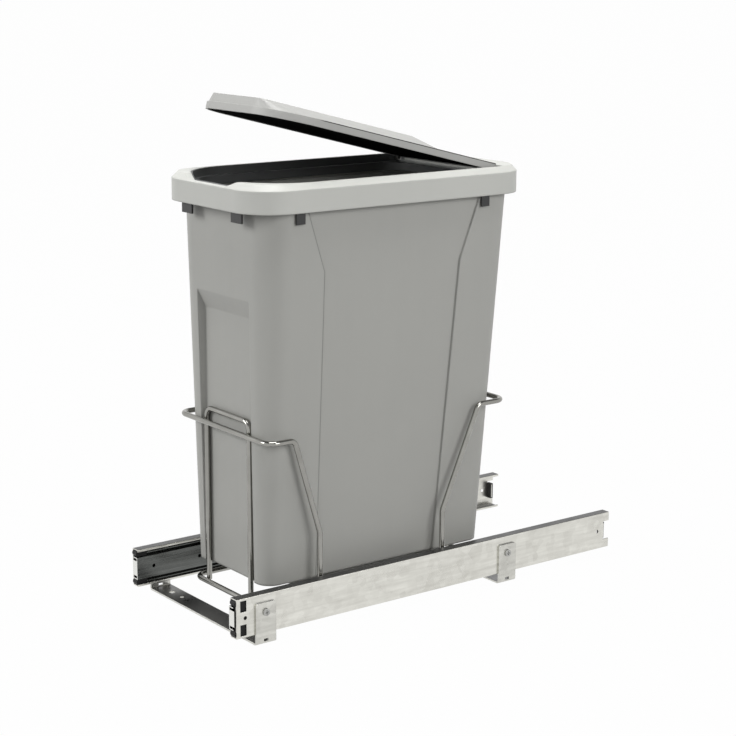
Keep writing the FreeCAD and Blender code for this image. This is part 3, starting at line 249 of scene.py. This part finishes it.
def brushed(name, dark, light, roughness):
    """Rolled steel with fine lines along the slide, and a painted highlight on the front ends."""
    s = Shader(name)
    lines = s.noise(scale=300.0, vector=s.stretched(BRUSHED_RAIL))
    clouds = s.noise(scale=18.0)
    toned = s.mix(lines, dark, light)
    deep = s.mix(s.ramp(clouds, [(0.35, 0.0), (0.8, 0.6)]), toned, dark)
    # painted highlight: faces that look forward are toned towards a light grey
    deep = s.mix(s.facing(FORWARD, low=0.8, high=0.95), deep, RAIL_END_HIGHLIGHT)
    rough = s.ramp(lines, [(0.2, roughness - 0.06), (0.8, roughness + 0.08)])
    s.bump(lines, strength=0.15, distance=0.1 * MM, edge=0.4 * MM)
    return s.finish(Base_Color=deep, Roughness=rough, Metallic=1.0)


def plated(name, dark, light, roughness):
    """Plated wire and polished balls: bright, with a faint cloud and tiny pits."""
    s = Shader(name)
    clouds = s.noise(scale=35.0)
    pits = s.noise(scale=900.0, detail=2.0)
    toned = s.mix(clouds, dark, light)
    rough = s.ramp(clouds, [(0.3, roughness - 0.05), (0.7, roughness + 0.07)])
    s.bump(pits, strength=0.06, distance=0.1 * MM)
    return s.finish(Base_Color=toned, Roughness=rough, Metallic=1.0)


def rubber(name, dark, light):
    """Matt moulded rubber with a fine grain."""
    s = Shader(name)
    toned = s.mix(s.noise(scale=90.0), dark, light)
    s.bump(s.noise(scale=1200.0, detail=3.0), strength=0.2, distance=0.1 * MM, edge=0.5 * MM)
    rough = s.ramp(s.noise(scale=50.0), [(0.3, 0.55), (0.7, 0.75)])
    return s.finish(Base_Color=toned, Roughness=rough)


def lid_painted_shadow(s):
    """The painted shadow line along each side of the lid, where the raised middle starts."""
    up = s.number("SUBTRACT", s.along(LID_UP), HINGE.dot(LID_UP))
    ahead = s.number("SUBTRACT", s.along(LID_AHEAD), HINGE.dot(LID_AHEAD))
    aside = s.number("ABSOLUTE", s.along(SIDEWAYS))
    line = s.number("SUBTRACT", s.above(up, LID_LINE_LOW, LID_LINE_FADE),
                    s.above(up, LID_LINE_HIGH, LID_LINE_FADE))
    length = s.below(ahead, LID_LINE_END, LID_LINE_END_FADE)
    return s.both(s.both(line, length), s.above(aside, LID_LINE_ASIDE, LID_LINE_ASIDE_FADE))


def panel_painted_shadow(s):
    """The painted shadow line down the front edge of each side panel, slanting forward above the knee."""
    over_knee = s.number("MAXIMUM", s.number("SUBTRACT", s.along(UP), PANEL_KNEE), 0.0)
    edge = s.number("ADD", s.number("MULTIPLY", over_knee, PANEL_SLANT), PANEL_FRONT)
    off = s.number("ABSOLUTE", s.number("SUBTRACT", s.along(FORWARD), edge))
    line = s.below(off, PANEL_LINE_HALF, PANEL_LINE_FADE)
    aside = s.number("ABSOLUTE", s.along(SIDEWAYS))
    side = s.above(aside, PANEL_LINE_ASIDE, PANEL_LINE_ASIDE_FADE)
    return s.number("MULTIPLY", s.both(line, side), PANEL_LINE_SHARE)


def lugs(s):
    """Painted shade on the clip lugs under the collar, darker than the frame above them."""
    return s.below(s.along(UP), LUG_TOP, LUG_FADE)


MATERIALS = {
    "bin_grey": plastic("bin_grey_plastic", dark=(0.38, 0.38, 0.36), light=(0.43, 0.43, 0.405),
                        roughness=0.48, edge=4.0 * MM, painted_shade=panel_painted_shadow),
    "lid_grey": plastic("lid_grey_plastic", dark=(0.37, 0.37, 0.355), light=(0.41, 0.41, 0.395),
                        roughness=0.46, edge=0.8 * MM, painted_shade=lid_painted_shadow),
    "collar_grey": plastic("collar_grey_plastic", dark=(0.51, 0.515, 0.485), light=(0.56, 0.565, 0.535),
                           roughness=0.46, edge=2.2 * MM),
    "frame_dark": plastic("dark_frame_plastic", dark=(0.055, 0.058, 0.058), light=(0.085, 0.089, 0.088),
                          roughness=0.42, edge=1.2 * MM, gloss=0.5, painted_shade=lugs),
    "lid_dark": plastic("dark_lid_plastic", dark=(0.010, 0.010, 0.010), light=(0.018, 0.018, 0.018),
                        roughness=0.85, edge=0.4 * MM, gloss=0.0),
    "pin_black": plastic("pin_plastic", dark=(0.015, 0.015, 0.015), light=(0.03, 0.03, 0.03),
                         roughness=0.4, edge=0.4 * MM),
    "black_plastic": plastic("black_end_plastic", dark=(0.006, 0.006, 0.006), light=(0.014, 0.014, 0.014),
                             roughness=0.45, edge=0.6 * MM, gloss=0.2),
    "black_rubber": rubber("bumper_rubber", dark=(0.012, 0.012, 0.012), light=(0.03, 0.03, 0.03)),
    "zinc": zinc("galvanised_zinc", dark=(0.48, 0.47, 0.43), light=(0.85, 0.845, 0.79), roughness=0.30),
    "bracket_zinc": zinc("bracket_zinc", dark=(0.40, 0.395, 0.365), light=(0.78, 0.775, 0.725),
                         roughness=0.32, spangle=160.0, edge=0.9 * MM, painted_top_reflection=0.20),
    "rail_zinc": brushed("inner_rail_steel", dark=(0.05, 0.052, 0.05), light=(0.24, 0.25, 0.24),
                         roughness=0.26),
    "cage_steel": brushed("cage_sheet_steel", dark=(0.16, 0.16, 0.16), light=(0.4, 0.4, 0.4),
                          roughness=0.3),
    "ball_steel": plated("ball_bearing_steel", dark=(0.6, 0.6, 0.6), light=(0.8, 0.8, 0.8),
                         roughness=0.14),
    "wire_nickel": plated("nickel_wire", dark=(0.22, 0.217, 0.20), light=(0.40, 0.395, 0.37),
                          roughness=0.15),
    "screw_steel": zinc("screw_zinc", dark=(0.26, 0.26, 0.25), light=(0.55, 0.55, 0.53),
                        roughness=0.36, spangle=500.0, edge=0.3 * MM),
}

# pieces that look different from the rest of their material slot
FINISHES = {"lid_shell": "lid_grey", "lid_panel": "lid_dark", "collar_frame": "frame_dark",
            "front_bracket": "bracket_zinc", "rear_bracket": "bracket_zinc"}
slots = {entry["node"]: entry["material_slot"] for entry in frame["record"]["subparts"]}
for name, obj in frame["nodes"].items():
    obj.data.materials.clear()
    finish = FINISHES.get(name, slots[name])
    obj.data.materials.append(MATERIALS[finish])


# floor, light and camera ------------------------------------------------------------------------

FLOOR_SIZE = 60.0
FLOOR_WHITE = 0.985
FLOOR_GREY = (0.30, 0.30, 0.30, 1.0)
FLOOR_ROUGHNESS = 0.9

# the backdrop's brightness: its share that lights the object, and its fade to a ceiling, by height
AMBIENT = 0.42
BACKDROP_TOP = 0.45
CEILING_START = 0.80
CEILING = 0.12
WHITE = (1.0, 1.0, 1.0, 1.0)

LAMP_SIZE = 1.5
LAMP_AIM = Vector((0.0, 0.0, 0.25))
LAMPS = (("left_box", Vector((-1.5, -2.6, 1.7)), 54.0),
         ("right_box", Vector((2.95, 0.35, 1.7)), 44.0),
         ("top_box", Vector((0.2, -0.1, 3.0)), 74.0))

# the photograph's camera, worked out from its vanishing points
CAMERA_AZIMUTH = math.radians(53.291)
CAMERA_ELEVATION = math.radians(12.617)
CAMERA_ROLL = math.radians(0.200)
CAMERA_PLACE = Vector((1.73249, -1.24213, 0.7459))
CAMERA_LENS = 90.594
SENSOR_WIDTH = 36.0


def seen(tree):
    """Two factors: one for camera, gloss and glass rays together, and one for camera rays alone."""
    path = tree.nodes.new("ShaderNodeLightPath")
    shiny = math_node(tree, "MAXIMUM", path.outputs["Is Glossy Ray"], path.outputs["Is Transmission Ray"])
    return math_node(tree, "MAXIMUM", path.outputs["Is Camera Ray"], shiny), path.outputs["Is Camera Ray"]


def make_floor():
    """A plain floor that looks white and keeps the object's soft shadow."""
    bpy.ops.mesh.primitive_plane_add(size=FLOOR_SIZE, location=(0, 0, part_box("front_bracket")[0].z))
    floor = bpy.context.object
    floor.name = "studio_floor"
    s = Shader("studio_floor_white")
    s.finish(Base_Color=FLOOR_GREY, Roughness=FLOOR_ROUGHNESS)
    glow = s.add("ShaderNodeEmission", Strength=1.0)
    blend = s.tree.nodes.new("ShaderNodeMixShader")
    visible = seen(s.tree)[0]
    s.tree.links.new(math_node(s.tree, "MULTIPLY", visible, FLOOR_WHITE), blend.inputs[0])
    s.tree.links.new(s.surface.outputs[0], blend.inputs[1])
    s.tree.links.new(glow.outputs[0], blend.inputs[2])
    s.tree.links.new(blend.outputs[0], s.tree.nodes["Material Output"].inputs["Surface"])
    floor.data.materials.append(s.material)


def make_world():
    """A white backdrop all round, up to a dim ceiling. Plain white to the camera."""
    world = bpy.data.worlds.new("studio")
    bpy.context.scene.world = world
    world.use_nodes = True
    tree = world.node_tree
    background = tree.nodes["Background"]
    background.inputs["Color"].default_value = WHITE
    split = tree.nodes.new("ShaderNodeSeparateXYZ")
    tree.links.new(tree.nodes.new("ShaderNodeTexCoord").outputs["Generated"], split.inputs[0])
    height = tree.nodes.new("ShaderNodeMapRange")
    tree.links.new(split.outputs["Z"], height.inputs["Value"])
    for name, value in (("From Min", BACKDROP_TOP), ("From Max", CEILING_START),
                        ("To Min", 1.0), ("To Max", CEILING)):
        height.inputs[name].default_value = value
    visible, to_camera = seen(tree)
    share = math_node(tree, "ADD", math_node(tree, "MULTIPLY", visible, 1.0 - AMBIENT), AMBIENT)
    studio = math_node(tree, "MULTIPLY", height.outputs["Result"], share)
    tree.links.new(math_node(tree, "MAXIMUM", studio, to_camera), background.inputs["Strength"])


def make_lamp(name, place, watts):
    """A square soft box that looks at the middle of the object."""
    data = bpy.data.lights.new(name, "AREA")
    data.shape = "SQUARE"
    data.size = LAMP_SIZE
    data.energy = watts
    lamp = bpy.data.objects.new(name, data)
    bpy.context.scene.collection.objects.link(lamp)
    lamp.location = place
    lamp.rotation_euler = (LAMP_AIM - place).to_track_quat("-Z", "Y").to_euler()


def make_camera():
    """The photograph's camera. Its back points along the azimuth and elevation, turned by the roll."""
    away = math.cos(CAMERA_ELEVATION)
    back = Vector((math.sin(CAMERA_AZIMUTH) * away, -math.cos(CAMERA_AZIMUTH) * away,
                   math.sin(CAMERA_ELEVATION)))
    level = Vector((math.cos(CAMERA_AZIMUTH), math.sin(CAMERA_AZIMUTH), 0.0))
    upright = back.cross(level)
    right = level * math.cos(CAMERA_ROLL) + upright * math.sin(CAMERA_ROLL)
    up = upright * math.cos(CAMERA_ROLL) - level * math.sin(CAMERA_ROLL)
    data = bpy.data.cameras.new("photo_camera")
    data.sensor_width = SENSOR_WIDTH
    data.lens = CAMERA_LENS
    camera = bpy.data.objects.new("photo_camera", data)
    bpy.context.scene.collection.objects.link(camera)
    turn = Matrix((right, up, back)).transposed().to_4x4()
    camera.matrix_world = Matrix.Translation(CAMERA_PLACE) @ turn
    bpy.context.scene.camera = camera


make_floor()
make_world()
for lamp_name, lamp_place, lamp_watts in LAMPS:
    make_lamp(lamp_name, lamp_place, lamp_watts)
make_camera()
bpy.context.scene.view_settings.view_transform = "Standard"
